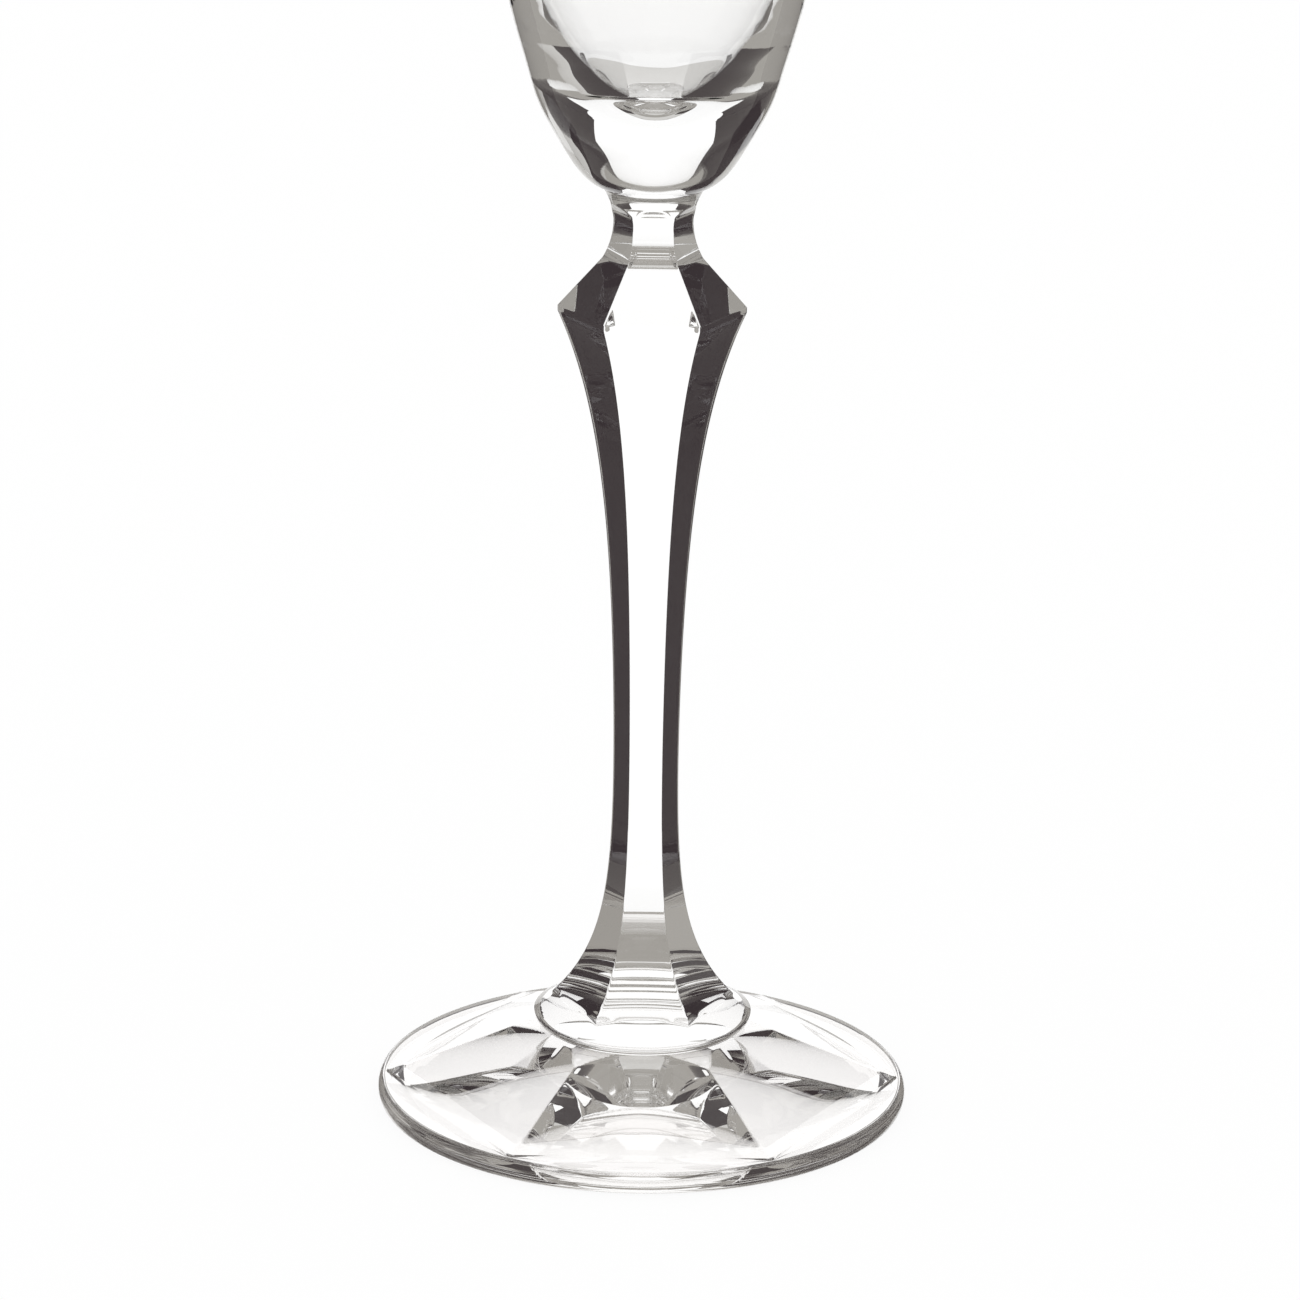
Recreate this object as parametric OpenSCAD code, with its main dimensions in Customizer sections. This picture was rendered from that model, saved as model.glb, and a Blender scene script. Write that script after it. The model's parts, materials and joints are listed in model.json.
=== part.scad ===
// Crystal champagne flute: a blown bowl, a six-sided stem with a knop, and a panelled foot.
// The glass stands on the plane Z = 0, with its axis on Z. One flat of the stem faces -Y.

/* [Foot] */
// Diameter of the foot
foot_d = 70; // [66:0.5:80]
// Thickness of the foot at its edge
foot_edge = 2.8; // [2:0.1:4]
// Rounding of the foot's edge, above and below
foot_edge_round = 0.9; // [0.4:0.1:1]
// Height of the foot, where the stem is joined on
foot_h = 10.5; // [9:0.1:14]
// Diameter of the joint between foot and stem
joint_d = 25.2; // [23:0.1:27]
// How far the corners of the six panels stay inside the flat of the foot's edge
panel_margin = 0.2; // [0.1:0.1:3]
// Diameter at which the ridges between the panels start, outside the cone next to the stem
ridge_start_d = 34.4; // [32:0.1:40]
// Diameter of the hollow under the foot
hollow_d = 62; // [50:0.2:63]
// Depth of the hollow under the foot
hollow_depth = 4.8; // [2:0.1:6]
// How blunt the tip of the hollow is: a small value makes a cone, a large one a dome
hollow_tip = 26; // [1:0.5:40]

/* [Stem] */
// Diameter of the round collar at the bottom of the stem
collar_d = 28.7; // [27.4:0.1:34]
// Height of the collar
collar_h = 4; // [3:0.1:5]
// Height in which the collar swells out over the joint
collar_under = 1.75; // [0.5:0.05:2.5]
// Diameter of the collar's sloping top at its upper end
collar_top_d = 22.3; // [20:0.1:25]
// Width across the corners where the stem flares into the collar
flare_d = 23.9; // [20:0.1:25.4]
// Height in which the flare fades to half
flare_fade = 5.3; // [4:0.1:8]
// Width across the corners that the shaft tends to at its slimmest
shaft_d = 7.7; // [6:0.1:10]
// Length of the shaft, from the collar to the knop
shaft_len = 92.9; // [60:0.1:120]
// Width across the corners of the knop
knop_d = 24.3; // [16:0.1:28]
// Height in which the knop fades to half, down the shaft
knop_fade = 12.7; // [8:0.1:16]
// Height of the narrow upright land round the knop
knop_land = 0.7; // [0.3:0.1:1.5]
// Height from the knop up to the narrowest place of the neck
neck_rise = 11.3; // [9:0.1:16]
// Width across the corners of the neck
neck_d = 10.2; // [8:0.1:12]
// Radius of the cut below the neck's narrowest place
neck_cut_r = 11; // [9:0.1:14]
// Radius of the cut above it, where the flats run out
runout_r = 3; // [2:0.1:4]
// Height from the narrowest place of the neck up to the bowl
seat_rise = 4.4; // [3.5:0.1:6]
// Diameter of the joint between stem and bowl
seat_d = 13.2; // [12:0.1:15]

/* [Bowl] */
// Height of the bowl, above its joint with the stem
bowl_h = 121.2; // [90:1:150]
// Diameter that the bowl's outside tends to
bowl_d = 49.1; // [46:0.1:60]
// Diameter of the bowl just above its rounded bottom
bowl_base_d = 16.9; // [15.4:0.1:20]
// Height in which the bowl comes half the way to its full width
bowl_fade = 16.5; // [13:0.1:17.5]
// Height in which the rounding under the bowl fades to half
base_fade = 0.75; // [0.5:0.05:2]
// How far the bowl is drawn in again at its rim, on each side
rim_draw = 3; // [0:0.1:4]
// Thickness of the wall at the rim
rim_wall = 1.5; // [1.2:0.1:2.5]
// Thickness of solid glass under the hollow
base_t = 11.4; // [9:0.1:18]
// Diameter of the hollow just above its rounded floor
floor_d = 14.9; // [10:0.1:16]
// Diameter of the flat in the middle of the floor
floor_flat_d = 4.6; // [3:0.1:7]
// Height in which the hollow comes half the way to its full width
inner_fade = 11.5; // [10.8:0.1:16]
// Height in which the rounding of its floor fades to half
floor_fade = 0.85; // [0.5:0.05:2]

/* [Hidden] */
$fn = 96;

// A hexagon's half width across flats, as a share of its half width across corners
flat_share = cos(30);
// How many straight steps stand for one long curve, for the hollow under the foot and for one short arc
long_steps = 44;
dome_steps = 20;
arc_steps = 8;
// How deep a form that is part of one solid reaches into its neighbour
fuse = 0.6;
// How far the round blank of the stem stands clear of the neck's corners
blank_margin = 0.1;
// How far the six panels stay from the joint between foot and stem
joint_land = 0.1;
// How far the collar ends below the place where the stem's flats start to curve
collar_land = 0.15;

// The end of the flat top of the foot's edge, and the panels' distance from the axis at both their ends
rim_r = foot_d / 2 - foot_edge_round;
panel_low = (rim_r - panel_margin) * flat_share;
panel_high = joint_d / 2 + joint_land;
collar_z = foot_h + collar_h;
knop_z = collar_z + shaft_len;
neck_z = knop_z + knop_land + neck_rise;
seat_z = neck_z + seat_rise;
// How late the bowl is drawn in: a higher power leaves it straighter below
draw_power = 3;
// The angles at which the two neck cuts end
neck_cut_angle = 27;
runout_angle = 78;

// What is left of 1 after falling by half over each fade
function faded(distance, fade) = pow(2, -distance / fade);

// Points on an arc in the plane of a profile
function arc(cx, cz, r, from, to, steps = arc_steps) =
    [for (i = [0:steps]) let (a = from + (to - from) * i / steps) [cx + r * cos(a), cz + r * sin(a)]];

// Height of the hollow's roof at a distance from the axis. It is a cone with a blunt tip
function hollow_z(r) = let (edge = norm([hollow_d / 2, hollow_tip]))
    hollow_depth * (edge - norm([r, hollow_tip])) / (edge - hollow_tip);

// Half width across flats of the shaft, at a height between collar and knop
function shaft_flat(z) = flat_share / 2 * (shaft_d
    + (knop_d - shaft_d) * faded(knop_z - z, knop_fade)
    + (flare_d - shaft_d) * faded(z - collar_z, flare_fade));

// Distance of the bowl's wall from the axis, at height h over where that wall starts.
// The wall comes to its full width by halves, starts with a quick rounding and is drawn in at the rim.
function wall_r(h, full_d, start_d, first_d, fade, first_fade, from_seat) =
    (full_d - (full_d - start_d) * faded(h, fade) - (start_d - first_d) * faded(h, first_fade)) / 2
    - rim_draw * pow((h + from_seat) / bowl_h, draw_power);

// Heights up a bowl wall, closer together near the bottom
function wall_heights(total) = [for (i = [0:long_steps]) total * pow(i / long_steps, 2)];

function outside(h) = wall_r(h, bowl_d, bowl_base_d, seat_d, bowl_fade, base_fade, 0);
function inside(h) = wall_r(h, bowl_d - 2 * rim_wall, floor_d, floor_flat_d, inner_fade, floor_fade, base_t);

// Keeps what six upright cuts leave of a block, each pair with the profile of the children
module six_sided(reach) {
    intersection_for (turn = [30, 90, 150])
        rotate([90, 0, turn])
            linear_extrude(height = reach, center = true)
                children();
}

// The long outline of the stem across its flats, mirrored to both sides
module stem_outline() {
    neck_flat = neck_d / 2 * flat_share;
    right = concat(
        [[shaft_flat(collar_z), foot_h + collar_h / 2]],
        [for (i = [0:long_steps])
            let (z = collar_z + shaft_len * i / long_steps)
            [shaft_flat(z), z]],
        [[shaft_flat(knop_z), knop_z + knop_land]],
        arc(neck_flat + neck_cut_r, neck_z, neck_cut_r, 180 + neck_cut_angle, 180),
        [for (p = arc(neck_flat + runout_r, neck_z, runout_r, 180, 180 - runout_angle)) if (p[1] > neck_z) p],
        [[seat_d, seat_z - fuse], [seat_d, seat_z]]
    );
    left = [for (i = [len(right) - 1:-1:0]) [-right[i][0], right[i][1]]];
    polygon(concat(right, left));
}

// The round body that the six cuts of the stem are made in, with the trumpet under the bowl
module stem_blank() {
    neck_r = neck_d / 2 + blank_margin;
    blank_r = max(collar_d, knop_d) / 2;
    spread = seat_d / 2 - neck_r;
    // The trumpet is an arc that starts upright at the neck and ends at the joint
    trumpet_r = (seat_rise * seat_rise + spread * spread) / (2 * spread);
    trumpet_angle = asin(seat_rise / trumpet_r);
    rotate_extrude()
        polygon(concat(
            [[0, foot_h + collar_h / 2], [blank_r, foot_h + collar_h / 2], [blank_r, neck_z]],
            arc(neck_r + trumpet_r, neck_z, trumpet_r, 180, 180 - trumpet_angle),
            [[0, seat_z]]
        ));
}

// The round pad that joins the stem to the foot. It swells out over the joint and slopes in again above
module collar() {
    widest_z = foot_h + collar_under;
    swell_w = (collar_d - joint_d) / 2;
    rotate_extrude()
        polygon(concat(
            [[0, foot_h]],
            [for (p = arc(0, 0, 1, -90, 0))
                [joint_d / 2 + swell_w * p[0], widest_z + collar_under * p[1]]],
            [[collar_top_d / 2, collar_z - collar_land], [0, collar_z - collar_land]]
        ));
}

// The round disc that the panels stand on, with its rounded edge
module foot_rim() {
    rotate_extrude()
        polygon(concat(
            [[0, 0]],
            arc(rim_r, foot_edge_round, foot_edge_round, -90, 0),
            arc(rim_r, foot_edge - foot_edge_round, foot_edge_round, 0, 90),
            [[0, foot_edge]]
        ));
}

// The outline of the six panels across their flats
module panel_outline() {
    polygon([
        [-panel_low, foot_edge - fuse], [panel_low, foot_edge - fuse], [panel_low, foot_edge],
        [panel_high, foot_h], [-panel_high, foot_h], [-panel_low, foot_edge]
    ]);
}

// The shallow cone that takes off the ridges between the panels, close to the stem
module foot_cone() {
    joint_r = joint_d / 2;
    start_r = ridge_start_d / 2;
    // How far the panels have come down where the ridges start
    start_drop = (foot_h - foot_edge) * (start_r * flat_share - panel_high) / (panel_low - panel_high);
    cone_slope = start_drop / (start_r - joint_r);
    rotate_extrude()
        polygon([
            [0, foot_edge - fuse], [rim_r, foot_edge - fuse],
            [rim_r, foot_h - cone_slope * (rim_r - joint_r)], [joint_r, foot_h], [0, foot_h]
        ]);
}

// The hollow that is taken out underneath, so that the foot stands on a narrow ring
module foot_hollow() {
    hollow_r = hollow_d / 2;
    rotate_extrude()
        polygon(concat(
            [[0, -fuse], [hollow_r, -fuse]],
            [for (i = [dome_steps:-1:0])
                let (r = hollow_r * i / dome_steps)
                [r, hollow_z(r)]]
        ));
}

module bowl() {
    inner_h = bowl_h - base_t;
    lip_r = (outside(bowl_h) - inside(inner_h)) / 2;
    outer = [for (h = wall_heights(bowl_h - lip_r)) [outside(h), seat_z + h]];
    inner = [for (h = wall_heights(inner_h - lip_r)) [inside(h), seat_z + base_t + h]];
    lip = arc(inside(inner_h) + lip_r, seat_z + bowl_h - lip_r, lip_r, 0, 180);
    color("aliceblue")
        rotate_extrude()
            polygon(concat(
                [[0, seat_z]],
                outer,
                [for (i = [1:len(lip) - 2]) lip[i]],
                [for (i = [len(inner) - 1:-1:0]) inner[i]],
                [[0, seat_z + base_t]]
            ));
}

module stem() {
    color("azure")
        union() {
            collar();
            intersection() {
                six_sided(2 * collar_d) stem_outline();
                stem_blank();
            }
        }
}

module foot() {
    color("ghostwhite")
        difference() {
            union() {
                foot_rim();
                intersection() {
                    six_sided(2 * foot_d) panel_outline();
                    foot_cone();
                }
            }
            foot_hollow();
        }
}

bowl();
stem();
foot();
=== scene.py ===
# %% [markdown]
# # A crystal champagne flute
# The glass is three pieces of clear crystal, made apart and fused together hot: a pressed foot with six cut
# panels, a six-sided stem with a knop, and a blown bowl. The CAD model gives their sizes. This script makes
# the same three pieces fine and smooth enough for glass, because glass shows every flaw of a mesh twice: on
# its surface, and in what is seen through it.

# %% Start
import json
import math

import bmesh
import bpy
from mathutils import Matrix, Vector

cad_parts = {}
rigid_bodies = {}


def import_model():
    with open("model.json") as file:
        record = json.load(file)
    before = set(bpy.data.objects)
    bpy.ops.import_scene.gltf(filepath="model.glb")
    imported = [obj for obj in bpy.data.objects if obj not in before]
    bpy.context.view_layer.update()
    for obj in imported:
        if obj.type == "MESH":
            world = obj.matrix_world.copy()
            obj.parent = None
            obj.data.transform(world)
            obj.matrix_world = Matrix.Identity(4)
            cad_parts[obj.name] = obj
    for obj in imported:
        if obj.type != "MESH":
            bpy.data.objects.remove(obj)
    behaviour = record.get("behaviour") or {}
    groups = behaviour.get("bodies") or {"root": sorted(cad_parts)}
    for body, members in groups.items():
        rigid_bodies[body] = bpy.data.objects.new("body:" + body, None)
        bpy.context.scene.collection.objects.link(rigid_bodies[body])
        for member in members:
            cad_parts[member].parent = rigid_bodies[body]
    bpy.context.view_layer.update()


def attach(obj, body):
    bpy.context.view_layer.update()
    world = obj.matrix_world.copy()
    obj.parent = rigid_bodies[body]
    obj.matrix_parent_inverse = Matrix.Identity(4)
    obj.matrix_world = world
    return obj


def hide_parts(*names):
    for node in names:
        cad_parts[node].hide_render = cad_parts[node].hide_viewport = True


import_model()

scene = bpy.context.scene

# %% [markdown]
# ## Rules instead of drawn points
# Every piece of this glass follows a rule: the bowl is turned, the stem is turned and then cut six times,
# and the foot is a disc with a six-sided pyramid on it. Geometry Nodes can hold such rules, but a formula
# of twenty Math nodes is hard to read as Python. A small class helps: it wraps a socket of a node tree so
# that plain signs such as + and * add the Math nodes.

# %% Formulas that build Math nodes
class Wire:
    """A value in a node tree. Each sum or product of wires adds one Math node to the tree."""

    def __init__(self, tree, socket):
        self.tree, self.socket = tree, socket

    def math(self, operation, *others):
        node = self.tree.nodes.new("ShaderNodeMath")
        node.operation = operation
        for slot, value in zip(node.inputs, (self, *others)):
            connect(self.tree, value, slot)
        return Wire(self.tree, node.outputs[0])

    def __add__(self, other):
        return self.math("ADD", other)

    def __sub__(self, other):
        return self.math("SUBTRACT", other)

    def __mul__(self, other):
        return self.math("MULTIPLY", other)

    def __truediv__(self, other):
        return self.math("DIVIDE", other)


def connect(tree, value, slot):
    """Puts a wire, a socket or a plain value into a node's input."""
    if isinstance(value, Wire):
        tree.links.new(value.socket, slot)
    elif isinstance(value, bpy.types.NodeSocket):
        tree.links.new(value, slot)
    else:
        slot.default_value = value


def add_node(tree, kind, inputs=(), **settings):
    """Adds a node, sets its properties and fills its inputs, which are given by name."""
    node = tree.nodes.new(kind)
    for name, value in settings.items():
        setattr(node, name, value)
    for name, value in dict(inputs).items():
        connect(tree, value, node.inputs[name])
    return node


print("formulas are ready")

# %% [markdown]
# ## One lathe for all three pieces
# A glassmaker turns a piece against a profile, and cuts flats into it with a wheel. The lathe here does the
# same: it takes a column of points, one for each level of the piece, and lays a grid round the axis with
# one row for each level. At each level the profile says how far the six flats stand from the axis, how wide
# the round blank is that they are cut in, and how wide a collar is that is joined on. A level without flats
# has a plain circle.
# A revolved curve (the Screw modifier) could make the bowl, but not the cuts of the stem and the foot.
# Towards the six corners the columns of the grid stand closer, so that the edges of the cuts come out
# crisp.

# %% What a level says
MM = 0.001
LEVEL_LABELS = ("flat", "blank", "collar", "cut", "circle", "height", "fused")


def level_values(tree, profile, row):
    """What the profile says for a row of the grid, under each label."""
    says = {}
    for label in LEVEL_LABELS:
        named = add_node(tree, "GeometryNodeInputNamedAttribute", {"Name": label}, data_type="FLOAT")
        sampled = add_node(tree, "GeometryNodeSampleIndex", {"Geometry": profile, "Index": row,
                           "Value": named.outputs["Attribute"]}, data_type="FLOAT")
        says[label] = Wire(tree, sampled.outputs["Value"])
    return says


print("a level says:", ", ".join(LEVEL_LABELS))

# %% Where the points of the grid stand
SECTOR = math.radians(60)
CORNER_PACKING, ROUNDING_NUDGE = 0.95, 0.0001


def grid_places(tree, columns_in_sector, columns):
    """The row of each point, its turn about the axis, and its turn from the last corner."""
    index = Wire(tree, add_node(tree, "GeometryNodeInputIndex").outputs["Index"])
    row = (index / columns + ROUNDING_NUDGE).math("FLOOR")
    place = (index - row * columns) / columns_in_sector
    sector = (place + ROUNDING_NUDGE).math("FLOOR")
    in_sector = place - sector
    packed = in_sector - (in_sector * math.tau).math("SINE") * (CORNER_PACKING / math.tau)
    from_corner = packed * SECTOR
    return row, from_corner + sector * SECTOR, from_corner


print("columns at a corner stand at", round(1 - CORNER_PACKING, 2), "of the even spacing")

# %% How far a point is from the axis
EDGE_SOFTNESS, RUNOUT_SOFTNESS, COLLAR_SOFTNESS = 0.02, 0.15 * MM, 0.4 * MM


def cut_radius(given, says, from_corner):
    """Inside the six flats and the round blank, or inside the collar. A level without a cut is a circle."""
    ahead, behind, next_one = [(from_corner - SECTOR * share).math("COSINE") for share in (0.5, -0.5, 1.5)]
    softness = given["Edge Softness"]
    corner_share = ahead.math("SMOOTH_MAX", behind, softness).math("SMOOTH_MAX", next_one, softness)
    flats = says["flat"] * MM / corner_share
    turned = flats.math("SMOOTH_MIN", says["blank"] * MM, given["Run-out Softness"])
    joined = turned.math("SMOOTH_MAX", says["collar"] * MM, given["Collar Softness"])
    return joined * says["cut"] + says["circle"] * MM


print("softened by mm:", {"collar": COLLAR_SOFTNESS / MM, "run-out": RUNOUT_SOFTNESS / MM})

# %% Closing the grid and giving it its materials
WELD = 0.001 * MM


def finished_grid(tree, given, shaped, fused):
    """Closes the seam and both ends, and sets the materials of the glass and of its fused faces."""
    marked = add_node(tree, "GeometryNodeStoreNamedAttribute",
                      {"Geometry": shaped, "Name": "fused_face", "Value": fused},
                      data_type="BOOLEAN", domain="POINT")
    closed = add_node(tree, "GeometryNodeMergeByDistance",
                      {"Geometry": marked.outputs["Geometry"], "Distance": WELD})
    smooth = add_node(tree, "GeometryNodeSetShadeSmooth", {"Geometry": closed.outputs["Geometry"]})
    mark = add_node(tree, "GeometryNodeInputNamedAttribute", {"Name": "fused_face"}, data_type="BOOLEAN")
    flat = add_node(tree, "GeometryNodeSetShadeSmooth", {"Geometry": smooth.outputs["Geometry"],
                    "Selection": mark.outputs["Attribute"], "Shade Smooth": False})
    real = add_node(tree, "GeometryNodeRealizeInstances", {"Geometry": flat.outputs["Geometry"]})
    glass = add_node(tree, "GeometryNodeSetMaterial",
                     {"Geometry": real.outputs["Geometry"], "Material": given["Crystal"]})
    joint = add_node(tree, "GeometryNodeSetMaterial", {"Geometry": glass.outputs["Geometry"],
                     "Selection": mark.outputs["Attribute"], "Material": given["Fused Face"]})
    return joint.outputs["Geometry"]


print("points closer than", WELD / MM, "mm are welded")

# %% The whole lathe
LATHE_INPUTS = {"Profile": "Geometry", "Columns in a Sector": "Int", "Edge Softness": "Float",
                "Run-out Softness": "Float", "Collar Softness": "Float", "Crystal": "Material",
                "Fused Face": "Material"}


def lathe_tree(name):
    """A tree that lays a grid round the axis, by the levels of a profile."""
    tree = bpy.data.node_groups.new(name, "GeometryNodeTree")
    tree.is_modifier = True
    for label, kind in LATHE_INPUTS.items():
        tree.interface.new_socket(label, in_out="INPUT", socket_type="NodeSocket" + kind)
    tree.interface.new_socket("Piece", in_out="OUTPUT", socket_type="NodeSocketGeometry")
    given = add_node(tree, "NodeGroupInput").outputs
    profile = given["Profile"]
    levels = add_node(tree, "GeometryNodeAttributeDomainSize", {"Geometry": profile}).outputs["Point Count"]
    columns_in_sector = Wire(tree, given["Columns in a Sector"])
    columns = columns_in_sector * 6.0 + 1.0
    grid = add_node(tree, "GeometryNodeMeshGrid", {"Vertices X": levels, "Vertices Y": columns})
    row, turn, from_corner = grid_places(tree, columns_in_sector, columns)
    says = level_values(tree, profile, row)
    radius = cut_radius(given, says, from_corner)
    spot = add_node(tree, "ShaderNodeCombineXYZ", {"X": radius * turn.math("COSINE"),
                    "Y": radius * turn.math("SINE"), "Z": says["height"] * MM})
    shaped = add_node(tree, "GeometryNodeSetPosition",
                      {"Geometry": grid.outputs["Mesh"], "Position": spot.outputs["Vector"]})
    fused = says["fused"].math("GREATER_THAN", 0.5)
    finished = finished_grid(tree, given, shaped.outputs["Geometry"], fused)
    add_node(tree, "NodeGroupOutput", {"Piece": finished})
    return tree


lathe_nodes = lathe_tree("glass_lathe")
print("nodes of the lathe:", len(lathe_nodes.nodes))

# %% [markdown]
# ## From levels to a plain mesh
# The levels go on a mesh of loose points, with one attribute for each thing that a level says. The lathe is
# put on it as a modifier, and what comes out is kept as a plain mesh, because other programs know meshes
# but not node trees. The levels of a piece run from the upper end of the axis to the lower one, which turns
# all faces outwards. The volume is printed as a test of that: it would be below zero if the faces pointed
# inwards.

# %% A piece from the lathe
def turned_piece(name, levels, columns, materials):
    """Puts levels, which are dictionaries in millimetres, on the lathe and keeps a plain mesh."""
    mesh = bpy.data.meshes.new(name)
    mesh.from_pydata([(0, 0, 0)] * len(levels), [], [])
    for label in LEVEL_LABELS:
        column = mesh.attributes.new(label, "FLOAT", "POINT")
        column.data.foreach_set("value", [float(level.get(label, 0)) for level in levels])
    piece = bpy.data.objects.new(name, mesh)
    scene.collection.objects.link(piece)
    lathe = piece.modifiers.new("Lathe", "NODES")
    lathe.node_group = lathe_nodes
    values = {"Columns in a Sector": columns, "Edge Softness": EDGE_SOFTNESS,
              "Run-out Softness": RUNOUT_SOFTNESS, "Collar Softness": COLLAR_SOFTNESS,
              "Crystal": materials[0], "Fused Face": materials[1]}
    for item in lathe_nodes.interface.items_tree:
        if item.in_out == "INPUT" and item.name in values:
            lathe[item.identifier] = values[item.name]
    seen = piece.evaluated_get(bpy.context.evaluated_depsgraph_get())
    finished = bpy.data.meshes.new_from_object(seen)
    piece.modifiers.clear()
    piece.data = finished
    bpy.data.meshes.remove(mesh)
    finished.name = name
    solid = bmesh.new()
    solid.from_mesh(finished)
    volume = solid.calc_volume(signed=True) * 1e9
    open_edges = sum(not edge.is_manifold for edge in solid.edges)
    solid.free()
    print(name, "faces:", len(finished.polygons), "open edges:", open_edges, "volume in mm3:", round(volume))
    return piece


print("inputs of the lathe:", ", ".join(LATHE_INPUTS))

# %% [markdown]
# ## The skin of worked glass
# Hot-worked glass is never quite even: its skin keeps long soft waves from the tools, which show as bent
# edges in what is seen through it. Waves could be modelled, but they are hundredths of a millimetre high,
# so a Bump node is enough. Finger smudges are the second detail. They only dull the gloss a little, so they
# go to the roughness. All three pieces have such a skin, so it is one node group with named inputs, and
# each finish gives its own values.

# %% Node group of the skin
WAVE_ROUGHNESS, SMUDGE_DETAIL, SMUDGE_START, SMUDGE_FULL = 0.4, 4.0, 0.58, 0.75


def skin_group(name):
    """Tool waves as a height from 0 to 1, and smudges as a roughness."""
    group = bpy.data.node_groups.new(name, "ShaderNodeTree")
    for label in ("Waves in a Metre", "Smudges in a Metre", "Smudge Dullness"):
        group.interface.new_socket(label, in_out="INPUT", socket_type="NodeSocketFloat")
    for label in ("Wave Height", "Dullness"):
        group.interface.new_socket(label, in_out="OUTPUT", socket_type="NodeSocketFloat")
    given = add_node(group, "NodeGroupInput").outputs
    place = add_node(group, "ShaderNodeTexCoord").outputs["Object"]
    waves = add_node(group, "ShaderNodeTexNoise", {"Vector": place, "Scale": given["Waves in a Metre"],
                     "Detail": 1.0, "Roughness": WAVE_ROUGHNESS})
    smudges = add_node(group, "ShaderNodeTexNoise", {"Vector": place, "Scale": given["Smudges in a Metre"],
                       "Detail": SMUDGE_DETAIL})
    dulled = add_node(group, "ShaderNodeMapRange", {"Value": smudges.outputs["Fac"], "From Min": SMUDGE_START,
                      "From Max": SMUDGE_FULL, "To Min": 0.0, "To Max": given["Smudge Dullness"]})
    add_node(group, "NodeGroupOutput",
             {"Wave Height": waves.outputs["Fac"], "Dullness": dulled.outputs["Result"]})
    return group


worked_skin = skin_group("worked_skin")
print("nodes of the skin:", len(worked_skin.nodes))

# %% [markdown]
# ## Clear crystal
# Crystal is glass with a high index of refraction, about 1.55, which makes it sparkle. One Principled BSDF
# with full transmission is all that it needs: a Glass BSDF would look the same here, but it doesn't travel
# to other programs. The cut stem, the pressed foot and the blown bowl differ a little. Pressed glass is a
# trace warmer, and its tint is also darker than the clear one: that darkening is painted shade, for the
# shaded table that is seen through the foot. The blown wall has the deepest waves, because no mould or wheel
# has touched it.
# Where two pieces are fused, the light meets no border at all. Their joint faces get a material of their
# own with an Alpha of 0, so a ray passes them as if the glass went on.

# %% The crystal and its fused faces
CRYSTAL_IOR, SMUDGES_IN_A_METRE, SMUDGE_DULLNESS = 1.55, 90.0, 0.03


def crystal_finish(name, tint, wave_size, wave_depth):
    """Clear crystal of that tint, with tool waves of that size and depth in millimetres."""
    material = bpy.data.materials.new(name)
    material.use_nodes = True
    tree = material.node_tree
    shader = tree.nodes["Principled BSDF"]
    shader.inputs["Base Color"].default_value = (*tint, 1)
    shader.inputs["IOR"].default_value = CRYSTAL_IOR
    shader.inputs["Transmission Weight"].default_value = 1
    skin = add_node(tree, "ShaderNodeGroup", {"Waves in a Metre": 1 / (wave_size * MM),
                    "Smudges in a Metre": SMUDGES_IN_A_METRE, "Smudge Dullness": SMUDGE_DULLNESS},
                    node_tree=worked_skin)
    bump = add_node(tree, "ShaderNodeBump",
                    {"Height": skin.outputs["Wave Height"], "Distance": wave_depth * MM, "Strength": 1.0})
    tree.links.new(bump.outputs["Normal"], shader.inputs["Normal"])
    tree.links.new(skin.outputs["Dullness"], shader.inputs["Roughness"])
    return material


# The pressed tint is a trace warm, and its darkening is painted shade of the table that is seen through the
# foot.
clear_tint, warm_tint_and_painted_shade = (0.998, 0.998, 0.996), (0.96, 0.945, 0.935)
cut_crystal = crystal_finish("crystal_cut", clear_tint, wave_size=7, wave_depth=0.012)
pressed_crystal_painted_shade = crystal_finish("crystal_pressed_painted_shade", warm_tint_and_painted_shade, wave_size=7, wave_depth=0.012)
blown_crystal = crystal_finish("crystal_blown", clear_tint, wave_size=5, wave_depth=0.025)
fused_face = bpy.data.materials.new("fused_face")
fused_face.use_nodes = True
fused_face.node_tree.nodes["Principled BSDF"].inputs["Alpha"].default_value = 0
print("materials:", cut_crystal.name, pressed_crystal_painted_shade.name, blown_crystal.name, fused_face.name)

# %% [markdown]
# ## The foot
# The foot is pressed round, domed underneath so that it stands on a narrow ring and doesn't rock, and then
# its top is cut into six sloping panels. Each panel runs straight up under the collar. The ridges between
# them stop short of it, because a shallow cone takes them off there. The dome matters as much as the
# panels: what shows in a panel is mostly the dome below it, bent by the slope. A height map could give the
# panels, but its square cells would leave the ridges ragged. Here the rows of the grid follow the cuts
# themselves.

# %% Foot sizes and panels
foot_r, foot_edge, foot_edge_round, foot_h = 35.0, 2.8, 0.9, 10.5
joint_r, joint_land, ridge_start_r, panel_margin = 12.6, 0.1, 17.2, 0.2
hollow_r, hollow_depth, hollow_tip, panel_runout = 31.0, 4.8, 26.0, 1.5
flat_share = math.cos(SECTOR / 2)
rim_r = foot_r - foot_edge_round
panel_low, panel_high = flat_share * (rim_r - panel_margin), joint_r + joint_land
panel_run = (panel_low - panel_high) / (foot_h - foot_edge)


def cone_r(z):
    """Radius of the shallow cone that cuts off the ridges next to the collar."""
    start_drop = (flat_share * ridge_start_r - panel_high) / panel_run
    return joint_r + (ridge_start_r - joint_r) * (foot_h - z) / start_drop


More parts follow.
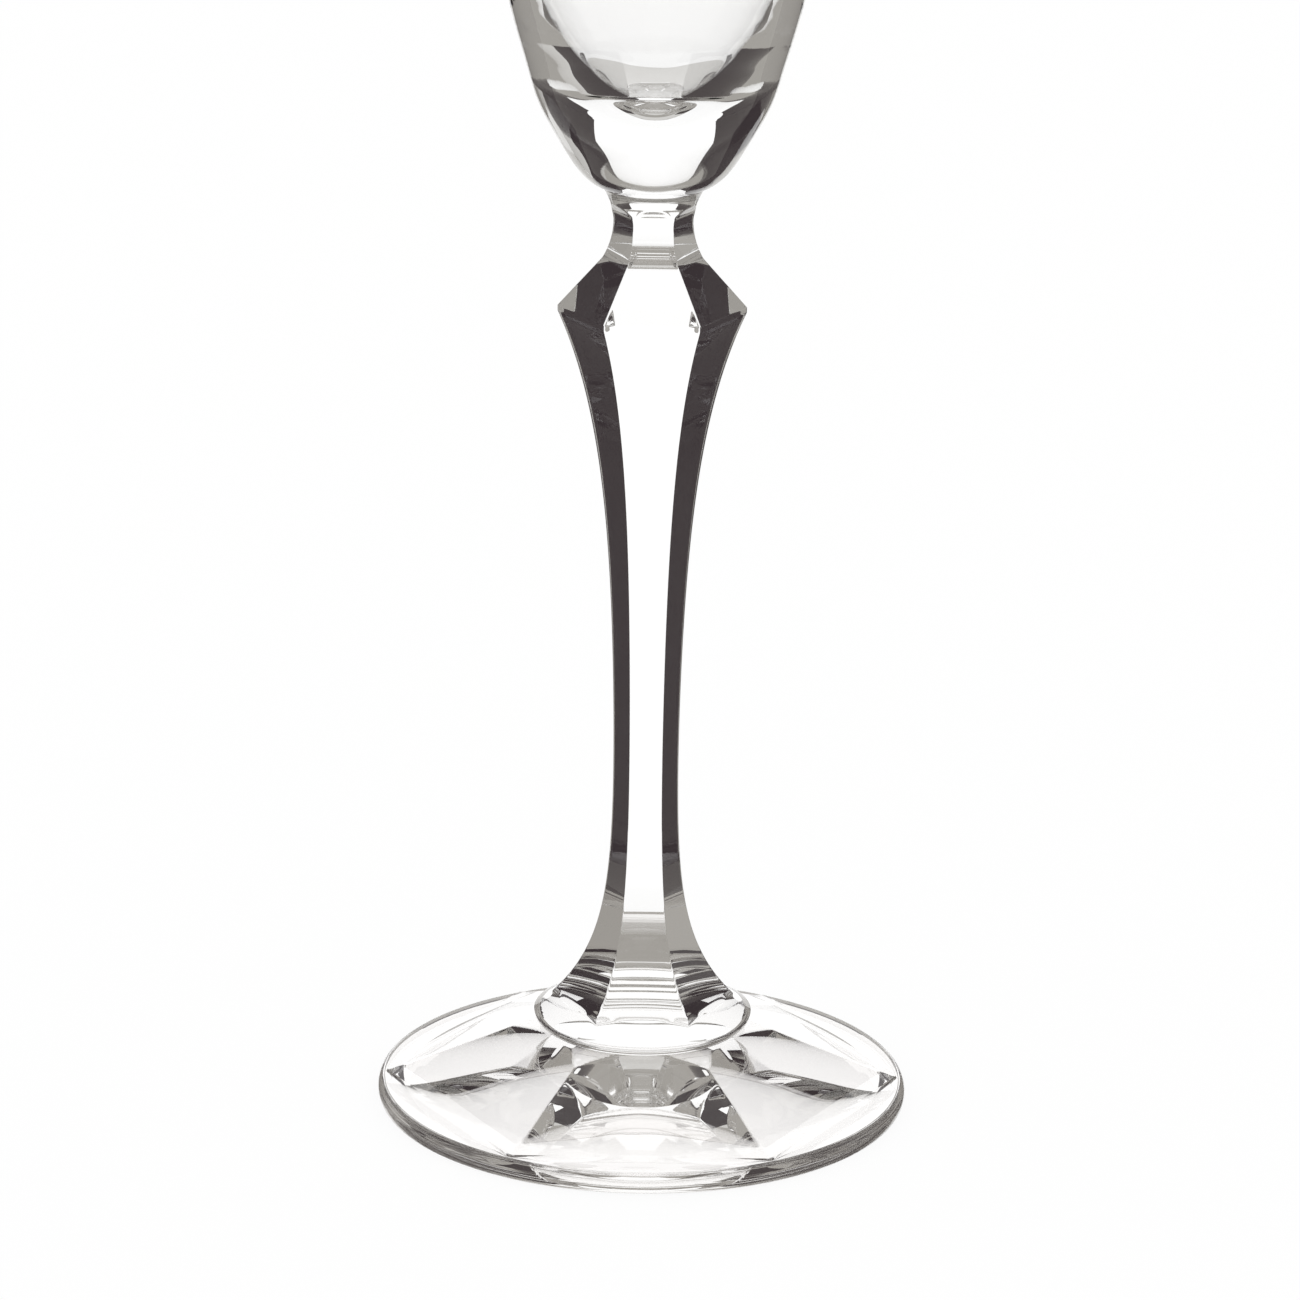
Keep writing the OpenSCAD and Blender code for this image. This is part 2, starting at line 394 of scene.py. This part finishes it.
def hollow_z(r):
    """Height of the hollow's roof at a distance from the axis: a cone with a blunt tip."""
    edge = math.hypot(hollow_r, hollow_tip)
    return hollow_depth * (edge - math.hypot(r, hollow_tip)) / (edge - hollow_tip)


def soft_min(a, b, reach):
    """The smaller of two values, rounded off where they come within reach of each other."""
    near = max(reach - abs(a - b), 0) / reach
    return min(a, b) - near ** 3 * reach / 6


def panel_z(flat):
    """Height of a panel at a distance from the axis, with the soft run-out that fire polishing leaves."""
    return -soft_min(-(foot_h - (flat - panel_high) / panel_run), -foot_edge, panel_runout)


def eased(count, ends=(0.004, 0.012, 0.03)):
    """Shares from 0 to 1, with a few more close to both ends."""
    even = [i / count for i in range(1, count)]
    middle = [share for share in even if ends[-1] < share < 1 - ends[-1]]
    return [0.0, *ends, *middle, *[1 - share for share in reversed(ends)], 1.0]


print("panel heights in mm:", {flat: round(panel_z(flat), 2) for flat in (13, 17, 21, 25, 29, 33)})

# %% Foot mesh
UNCUT = 1000.0
panel_rows, margin_rows, edge_rows, ring_rows, hollow_rows = 70, 24, 32, 8, 60
foot_columns = 40
foot_levels = [dict(circle=0, height=foot_h, fused=1), dict(circle=joint_r, height=foot_h, fused=1)]
for t in eased(panel_rows)[1:]:
    flat = panel_high + (panel_low - panel_high) * t
    foot_levels.append(dict(flat=flat, blank=cone_r(panel_z(flat)), cut=1, height=panel_z(flat)))
for t in eased(margin_rows)[1:]:
    foot_levels.append(dict(flat=panel_low * (1 - t), blank=UNCUT, cut=t < 1, circle=rim_r * t,
                            height=panel_z(panel_low + (rim_r - panel_low) * t)))
for step in range(1, edge_rows + 1):
    angle = math.radians(90 - 180 * step / edge_rows)
    foot_levels.append(dict(circle=rim_r + foot_edge_round * math.cos(angle),
                            height=foot_edge / 2 * (1 + math.sin(angle))))
foot_levels += [dict(circle=rim_r + (hollow_r - rim_r) * t, height=0) for t in eased(ring_rows)[1:]]
for t in eased(hollow_rows)[1:]:
    foot_levels.append(dict(circle=hollow_r * (1 - t), height=hollow_z(hollow_r * (1 - t))))
foot = turned_piece("foot_pressed", foot_levels, foot_columns, (pressed_crystal_painted_shade, fused_face))

# %% [markdown]
# ## The stem
# The stem is drawn from a round gather and then cut with six long flats. The flats swell to the knop,
# hollow out to the neck and run out in the round trumpet that carries the bowl. At the bottom they flare
# and come to stand on a round collar, which swells out over the joint with the foot and has a sloping top.
# A six-sided curve swept along a line would give the shaft, but not the run-outs, where flat and round
# meet. So the rule of the stem is a choice at every point: inside the six flats and inside the round blank,
# or inside the collar.

# %% Stem sizes and outline
collar_r, collar_h, collar_under, collar_top_r, collar_land = 14.35, 4.0, 1.75, 11.15, 0.15
flare_d, flare_fade, shaft_d, shaft_len = 23.9, 5.3, 7.7, 92.9
knop_d, knop_fade, knop_land = 24.3, 12.7, 0.7
neck_rise, neck_d, neck_cut_r, neck_cut_angle, runout_r = 11.3, 10.2, 11.0, 27.0, 3.0
seat_rise, bowl_seat_d, blank_margin = 4.4, 13.2, 0.1
knop_edge_round, neck_edge_round, cut_reach = 0.1, 0.08, 1.0
collar_z = foot_h + collar_h
knop_z = collar_z + shaft_len
neck_z = knop_z + knop_land + neck_rise
seat_z = neck_z + seat_rise


def faded(distance, fade):
    """What is left of 1 after falling by half over each fade."""
    return 2 ** (-distance / fade)


def stem_flat(z):
    """Half the width across the flats at a height."""
    shaft = flat_share / 2 * (shaft_d + (knop_d - shaft_d) * faded(knop_z - z, knop_fade)
                              + (flare_d - shaft_d) * faded(z - collar_z, flare_fade))
    land = flat_share * knop_d / 2
    neck = flat_share * neck_d / 2
    cut_end = math.radians(neck_cut_angle)
    cut_top = (neck + neck_cut_r * (1 - math.cos(cut_end)), neck_z - neck_cut_r * math.sin(cut_end))
    slope = (land - cut_top[0]) / (cut_top[1] - knop_z - knop_land)
    shoulder = land - slope * (z - knop_z - knop_land)
    body = soft_min(soft_min(shaft, land, knop_edge_round), shoulder, knop_edge_round)
    if z < cut_top[1] - cut_reach:
        return body
    radius = neck_cut_r if z < neck_z else runout_r
    off = min(abs(z - neck_z), radius * 0.999)
    cut = neck + radius - math.sqrt(radius ** 2 - off ** 2)
    return cut if z > neck_z else -soft_min(-body, -cut, neck_edge_round)


def trumpet_r(z):
    """Radius of the round blank that the flats are cut in."""
    if z < neck_z:
        return collar_r
    start = neck_d / 2 + blank_margin
    spread = bowl_seat_d / 2 - start
    bend = (seat_rise ** 2 + spread ** 2) / (2 * spread)
    return start + bend - math.sqrt(bend ** 2 - (z - neck_z) ** 2)


print("stem flats in mm:", {z: round(stem_flat(z), 2) for z in (20, 50, 107.4, 112, 119.4)})

# %% Stem mesh
CREASE_ZONE = 0.31
CREASE_STEPS = (-0.3, -0.15, -0.08, -0.04, -0.015, 0.015, 0.04, 0.08, 0.15, 0.3)
swell_rows, slope_rows, stem_columns = 12, 24, 30
first_gap, shaft_gap, neck_gap, knop_zone = 0.02, 0.45, 0.12, 2


def spaced(low, high, gap, creases=()):
    """Heights from low to high, closer together on both sides of a crease."""
    count = round((high - low) / gap)
    heights = [low + (high - low) * i / count for i in range(count + 1)]
    for crease in creases:
        heights = [h for h in heights if abs(h - crease) > CREASE_ZONE]
        heights += [crease + step for step in CREASE_STEPS]
    return sorted(h for h in heights if low <= h <= high)


def stem_level(z, collar=0.0, **more):
    """What the lathe needs to know of the stem at a height."""
    return dict(height=z, flat=stem_flat(max(z, collar_z)), blank=trumpet_r(z), collar=collar, cut=1, **more)


stem_levels = [dict(height=foot_h, fused=1), stem_level(foot_h, joint_r, fused=1)]
for step in range(1, swell_rows + 1):
    angle = math.radians(90 * step / swell_rows)
    stem_levels.append(stem_level(foot_h + collar_under * (1 - math.cos(angle)),
                                  joint_r + (collar_r - joint_r) * math.sin(angle)))
for t in eased(slope_rows)[1:]:
    stem_levels.append(stem_level(foot_h + collar_under + (collar_h - collar_land - collar_under) * t,
                                  collar_r + (collar_top_r - collar_r) * t))
knop_top, cut_crease = knop_z + knop_land, neck_z - neck_cut_r * math.sin(math.radians(neck_cut_angle))
shaft_heights = spaced(collar_z + first_gap, knop_z - knop_zone, shaft_gap)
neck_heights = spaced(knop_z - knop_zone, seat_z, neck_gap, (knop_z, knop_top, cut_crease))
stem_levels += [stem_level(z) for z in shaft_heights + neck_heights[1:-1]]
stem_levels += [stem_level(seat_z, fused=1), dict(height=seat_z, fused=1)]
stem = turned_piece("stem_cut", stem_levels[::-1], stem_columns, (cut_crystal, fused_face))

# %% [markdown]
# ## The bowl
# The bowl is blown: round all the way, with a thick solid bottom under the hollow, a wall that comes to its
# full width by halves, and a rim that is drawn in a little and melted round. The wall is thicker low down,
# where hot glass gathers, and the outside has a slight belly there. The hollow has a small flat floor with
# a rounded corner. All of this shows, because the solid bottom is a lens: it draws the floor, the corner
# and the studio behind them on the front of the bowl, so a tenth of a millimetre can be seen.
# A Screw modifier on a drawn curve could turn such a bowl too. But the lathe is there already, and it takes
# a formula: the profile runs from the joint up the outside, over the lip and down the inside to the floor,
# without any cut.

# %% Bowl sizes and profile
bowl_h, bowl_d, bowl_base_d, bowl_fade, base_fade = 121.2, 49.1, 16.9, 16.5, 0.75
rim_draw, rim_wall, draw_power = 3.0, 1.5, 3
low_wall, low_wall_h, low_wall_fade = 2.4, 14.0, 20.0
base_t, floor_d, floor_flat_d, inner_fade = 11.0, 13.8, 4.6, 11.2
floor_round, round_power = 3.6, 1.65
belly, belly_h, belly_reach = 0.42, 11.0, 4.0


def wall_r(h, full_d, early_d, fade, from_seat):
    """Radius of a wall at a height over where it starts. It comes to its full width by halves."""
    drawn_in = rim_draw * ((h + from_seat) / bowl_h) ** draw_power
    return (full_d - (full_d - early_d) * faded(h, fade)) / 2 - drawn_in


def outside(h):
    """The outer wall, with a quick rounding at its start and a slight belly."""
    rounding = (bowl_base_d - bowl_seat_d) / 2 * faded(h, base_fade)
    swell = belly * math.exp(-((h - belly_h) / belly_reach) ** 2)
    return wall_r(h, bowl_d, bowl_base_d, bowl_fade, 0) - rounding + swell


def inside(h):
    """The wall of the hollow, with a floor that is flat in the middle and rounded round it."""
    share = (1 - (1 - min(h / floor_round, 1)) ** round_power) ** (1 / round_power)
    thick = rim_wall + (low_wall - rim_wall) * faded(max(h - low_wall_h, 0), low_wall_fade)
    wall = wall_r(h, bowl_d - 2 * thick, floor_d, inner_fade, base_t)
    return floor_flat_d / 2 * (1 - share) + wall * share


print("bowl wall in mm:", {h: round(outside(h) - inside(h - base_t), 2) for h in (15, 25, 40, 80, 118)})

# %% Bowl mesh
wall_rows, lip_rows, bowl_columns = 160, 16, 28
floor_shares = (0.97, 0.9, 0.6, 0.3, 0)
inner_h = bowl_h - base_t
lip_r = (outside(bowl_h) - inside(inner_h)) / 2
lip_z = seat_z + bowl_h - lip_r
bowl_levels = [dict(circle=0, height=seat_z, fused=1), dict(circle=outside(0), height=seat_z, fused=1)]
for step in range(1, wall_rows + 1):
    h = (bowl_h - lip_r) * (step / wall_rows) ** 2
    bowl_levels.append(dict(circle=outside(h), height=seat_z + h))
for step in range(1, lip_rows):
    angle = math.pi * step / lip_rows
    bowl_levels.append(dict(circle=inside(inner_h) + lip_r + lip_r * math.cos(angle),
                            height=lip_z + lip_r * math.sin(angle)))
for step in range(wall_rows, -1, -1):
    h = (inner_h - lip_r) * (step / wall_rows) ** 2
    bowl_levels.append(dict(circle=inside(h), height=seat_z + base_t + h))
bowl_levels += [dict(circle=inside(0) * share, height=seat_z + base_t) for share in floor_shares]
bowl = turned_piece("bowl_blown", bowl_levels[::-1], bowl_columns, (blown_crystal, fused_face))

# %% [markdown]
# ## Riding on the frame
# None of the pieces moves against another, so all three ride on the one body of the model, and each stands
# for the CAD solid of the same piece.

# %% Pieces on the frame
for piece, node in ((foot, "foot"), (stem, "stem"), (bowl, "bowl")):
    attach(piece, "root")
    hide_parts(node)
print("pieces:", [piece.name for piece in (foot, stem, bowl)])

# %% [markdown]
# ## The table
# The glass stands on a plain white table that runs on to the horizon. To the camera it is white and keeps a
# soft trace of the shadow: most of its tone is a glow for camera rays alone, and the rest is matt white
# under the white world. A ray that has met the glass finds a clear sheet instead, because the foot looks
# far down, past the table, at what stands behind the glass. A floor that is white for all rays is simpler,
# but then every face that looks down turns white, and the foot loses its drawing.

# %% Table top
def stage_mesh(name, paint, points, faces):
    """A plain mesh of the stage, in millimetres."""
    mesh = bpy.data.meshes.new(name)
    mesh.from_pydata([Vector(point) * MM for point in points], [], faces)
    mesh.materials.append(paint)
    made = bpy.data.objects.new(name, mesh)
    scene.collection.objects.link(made)
    return made


table_white, glow_share, table_reach, table_drop = 0.97, 0.93, 12000, 0.05
table_paint = bpy.data.materials.new("table_white")
table_paint.use_nodes = True
table_tree = table_paint.node_tree
matt = table_tree.nodes["Principled BSDF"]
matt.inputs["Base Color"].default_value = (table_white, table_white, table_white, 1)
matt.inputs["Roughness"].default_value = 1
matt.inputs["Specular IOR Level"].default_value = 0
seen = {label: Wire(table_tree, socket) for label, socket in
        add_node(table_tree, "ShaderNodeLightPath").outputs.items()}
glow = add_node(table_tree, "ShaderNodeEmission", {"Strength": 1.0})
clear = add_node(table_tree, "ShaderNodeBsdfTransparent")
white = add_node(table_tree, "ShaderNodeMixShader", {"Fac": seen["Is Camera Ray"] * glow_share})
met_glass = seen["Is Transmission Ray"].math("MAXIMUM", seen["Is Glossy Ray"])
sheet = add_node(table_tree, "ShaderNodeMixShader", {"Fac": met_glass})
table_tree.links.new(matt.outputs["BSDF"], white.inputs[1])
table_tree.links.new(glow.outputs["Emission"], white.inputs[2])
table_tree.links.new(white.outputs["Shader"], sheet.inputs[1])
table_tree.links.new(clear.outputs["BSDF"], sheet.inputs[2])
table_tree.links.new(sheet.outputs["Shader"], table_tree.nodes["Material Output"].inputs["Surface"])
table_paint.cycles.emission_sampling = "NONE"
corners = [(x * table_reach, y * table_reach, -table_drop) for x, y in ((-1, -1), (1, -1), (1, 1), (-1, 1))]
table = stage_mesh("table", table_paint, corners, [(0, 1, 2, 3)])
print("nodes of the table:", len(table_tree.nodes), "reach in m:", table_reach * MM)

# %% White world
world = bpy.data.worlds.new("studio")
scene.world = world
world.use_nodes = True
backdrop = world.node_tree.nodes["Background"]
backdrop.inputs["Color"].default_value = (1, 1, 1, 1)
backdrop.inputs["Strength"].default_value = 1
print("strength of the world:", backdrop.inputs["Strength"].default_value)

# %% [markdown]
# ## What stands around the glass
# Clear glass has no colour of its own: what shows is the room around it. Following the view back through
# the cut faces tells what stands there. Straight behind the glass is one tall white panel, and this is what
# the eye meets through the middle of each piece. Beside it stand two dark flags. The cut sides bend the
# view out to them, which draws the edges dark. Pale cards stand above, below and at the right, and the rest
# is a plain grey room. Lamps behind white cloth would do the same, but a card with an even glow is plainer
# and renders without grain. The panel's glow is a little over 1, because every surface of the glass takes
# some light away. It falls to 1 at its foot.

# %% Paints of the cards
def plain_paint(name, *colour):
    """A card's own even colour, from 0 for black to 1 for white."""
    paint = bpy.data.materials.new(name)
    paint.use_nodes = True
    tree = paint.node_tree
    tree.nodes.clear()
    glow = add_node(tree, "ShaderNodeEmission", {"Color": (*colour, 1)})
    glow.name = "Glow"
    add_node(tree, "ShaderNodeOutputMaterial", {"Surface": glow.outputs["Emission"]})
    paint.cycles.emission_sampling = "NONE"
    return paint


white_paint = plain_paint("panel_white", 1.0, 1.0, 1.0)
dark_paint = plain_paint("flag_dark", 0.042, 0.033, 0.036)
grey_paint = plain_paint("room_grey", 0.37, 0.355, 0.33)
pale_paint = plain_paint("card_pale", 0.62, 0.61, 0.59)
low_paint = plain_paint("card_low", 0.67, 0.66, 0.64)
panel_foot_z, panel_foot_glow, panel_glow = -2.6, 1.0, 1.12
panel_tree = white_paint.node_tree
panel_place = add_node(panel_tree, "ShaderNodeTexCoord").outputs["Object"]
panel_height = add_node(panel_tree, "ShaderNodeSeparateXYZ", {"Vector": panel_place}).outputs["Z"]
panel_level = add_node(panel_tree, "ShaderNodeMapRange", {"Value": panel_height, "From Min": panel_foot_z,
                       "From Max": 0.0, "To Min": panel_foot_glow, "To Max": panel_glow})
panel_tree.links.new(panel_level.outputs["Result"], panel_tree.nodes["Glow"].inputs["Strength"])
print("paints:", [paint.name for paint in (white_paint, dark_paint, grey_paint, pale_paint, low_paint)])

# %% [markdown]
# ## Cards by bearing and elevation
# Glass bends a view to a direction, so a card is best placed by the directions that it fills: by its
# bearing from straight back, and by its elevation, both in degrees as seen from the glass. Far away the
# distance hardly matters. The flags stand a little before the panel. Their inner edge leans outwards with
# height, as the slant of the dark bands in the glass tells. Low down it steps back to the panel's own edge,
# and two small flags stand below.

# %% Panel, cards and flags
CARD_R, FLAG_R, LOW_FLAG_R, ROOM_R = 2400, 2390, 2380, 9000
STRIP_TURN = 4
PANEL_TURN, PANEL_LOW, PANEL_HIGH = 34, -48, 50
TOP_TURN, TOP_HIGH, LOW_CARD_LOW = 50, 80, -60
FLAG_TURN = 62
FLAG_EDGE = ((-42, 34), (-22, 34), (-21, 18.5), (3, 18.5), (20, 24), (30, 27.5), (56, 27.5))
FLAG_SHARES = (0, 0.25, 0.5, 0.75, 1)
LOW_FLAG_START, LOW_FLAG_END, LOW_FLAG_LOW, LOW_FLAG_HIGH = 22, 45, -58, -38
WING_END, SIDE_END, SIDE_LOW, SIDE_HIGH = 82, 84, -12, 38


def bearing(degrees, elevation, distance):
    """A point by its bearing from straight back, its elevation and its distance from the axis."""
    turn, rise = math.radians(degrees), math.radians(elevation)
    return (distance * math.sin(turn), distance * math.cos(turn), distance * math.tan(rise))


def screen(name, paint, start, end, low, high, distance):
    """An upright screen round the axis between two bearings and two elevations."""
    steps = max(1, round(abs(end - start) / STRIP_TURN))
    turns = [start + (end - start) * i / steps for i in range(steps + 1)]
    points = [bearing(turn, elevation, distance) for elevation in (low, high) for turn in turns]
    faces = [(i, i + 1, steps + 2 + i, steps + 1 + i) for i in range(steps)]
    return stage_mesh(name, paint, points, faces)


def flag(name, sign):
    """A dark flag in front of the panel. Its inner edge goes through pairs of elevation and bearing."""
    points = [bearing(sign * (turn + (FLAG_TURN - turn) * share), elevation, FLAG_R)
              for elevation, turn in FLAG_EDGE for share in FLAG_SHARES]
    wide = len(FLAG_SHARES)
    faces = [(i * wide + j, i * wide + j + 1, (i + 1) * wide + j + 1, (i + 1) * wide + j)
             for i in range(len(FLAG_EDGE) - 1) for j in range(wide - 1)]
    return stage_mesh(name, dark_paint, points, faces)


cards = [screen("panel", white_paint, -PANEL_TURN, PANEL_TURN, PANEL_LOW, PANEL_HIGH, CARD_R),
         screen("top_card", pale_paint, -TOP_TURN, TOP_TURN, PANEL_HIGH, TOP_HIGH, CARD_R),
         screen("low_card", low_paint, -PANEL_TURN, PANEL_TURN, LOW_CARD_LOW, PANEL_LOW, CARD_R),
         screen("flag_wing", dark_paint, -FLAG_TURN, -WING_END, SIDE_LOW, SIDE_HIGH, CARD_R),
         screen("side_card", pale_paint, FLAG_TURN, SIDE_END, SIDE_LOW, SIDE_HIGH, CARD_R)]
for side, sign in (("left", -1), ("right", 1)):
    cards += [flag(f"flag_{side}", sign),
              screen(f"low_flag_{side}", dark_paint, LOW_FLAG_START * sign, LOW_FLAG_END * sign,
                     LOW_FLAG_LOW, LOW_FLAG_HIGH, LOW_FLAG_R)]
print("cards:", [card.name for card in cards])

# %% The grey room
room_mesh = bmesh.new()
bmesh.ops.create_icosphere(room_mesh, subdivisions=4, radius=ROOM_R)
room = stage_mesh("room", grey_paint, [v.co for v in room_mesh.verts],
                  [[v.index for v in face.verts] for face in room_mesh.faces])
room_mesh.free()
print("faces of the room:", len(room.data.polygons))

# %% [markdown]
# ## The camera
# The glass is seen through a long lens from a little above, so that the foot is a flat ellipse and the stem
# stays upright. Place, tilt and focal length were fitted to the ellipses of the foot and the collar and to
# the corners of the knop. The focal length is written in pixels of a picture that is 1300 pixels wide.
# Glass needs many bounces. A ray may be thrown from side to side in the stem ten times before it finds a
# way out, and with too few bounces it ends in black.

# %% Camera and bounces
lens_px, photo_px, sensor_mm = 6054, 1300, 36
camera_place, camera_tilt, camera_roll = (0.33, -750, 301.2), 17.69, 0.81
glass_bounces = 32
camera_data = bpy.data.cameras.new("camera")
camera_data.sensor_width = sensor_mm
camera_data.lens = sensor_mm * lens_px / photo_px
camera = bpy.data.objects.new("camera", camera_data)
scene.collection.objects.link(camera)
camera.matrix_world = (Matrix.Translation(Vector(camera_place) * MM)
                       @ Matrix.Rotation(math.radians(90 - camera_tilt), 4, "X")
                       @ Matrix.Rotation(math.radians(camera_roll), 4, "Z"))
scene.camera = camera
scene.view_settings.view_transform = "Standard"
scene.cycles.max_bounces = glass_bounces
scene.cycles.transmission_bounces = glass_bounces
scene.cycles.glossy_bounces = glass_bounces
scene.cycles.transparent_max_bounces = glass_bounces
print("focal length in mm:", round(camera_data.lens, 1), "bounces:", glass_bounces)

# %% [markdown]
# ## A studio that comes along
# A photographer who walks round a glass takes the panel and the flags along, because they only work behind
# it. So all cards hang on one empty, the turntable, which stands on the axis. A Locked Track constraint
# turns it about its upright axis until its front faces the camera. Cards that are children of the camera
# would tilt with it as well. The cards are there for the glass alone: the camera, the matt table and the
# shadows don't see them.

# %% Turntable
turntable = bpy.data.objects.new("turntable", None)
scene.collection.objects.link(turntable)
facing = turntable.constraints.new("LOCKED_TRACK")
facing.target = camera
facing.track_axis = "TRACK_NEGATIVE_Y"
facing.lock_axis = "LOCK_Z"
for hung in (*cards, room):
    hung.parent = turntable
    hung.visible_camera = False
    hung.visible_diffuse = False
    hung.visible_shadow = False
print("on the turntable:", len(turntable.children))
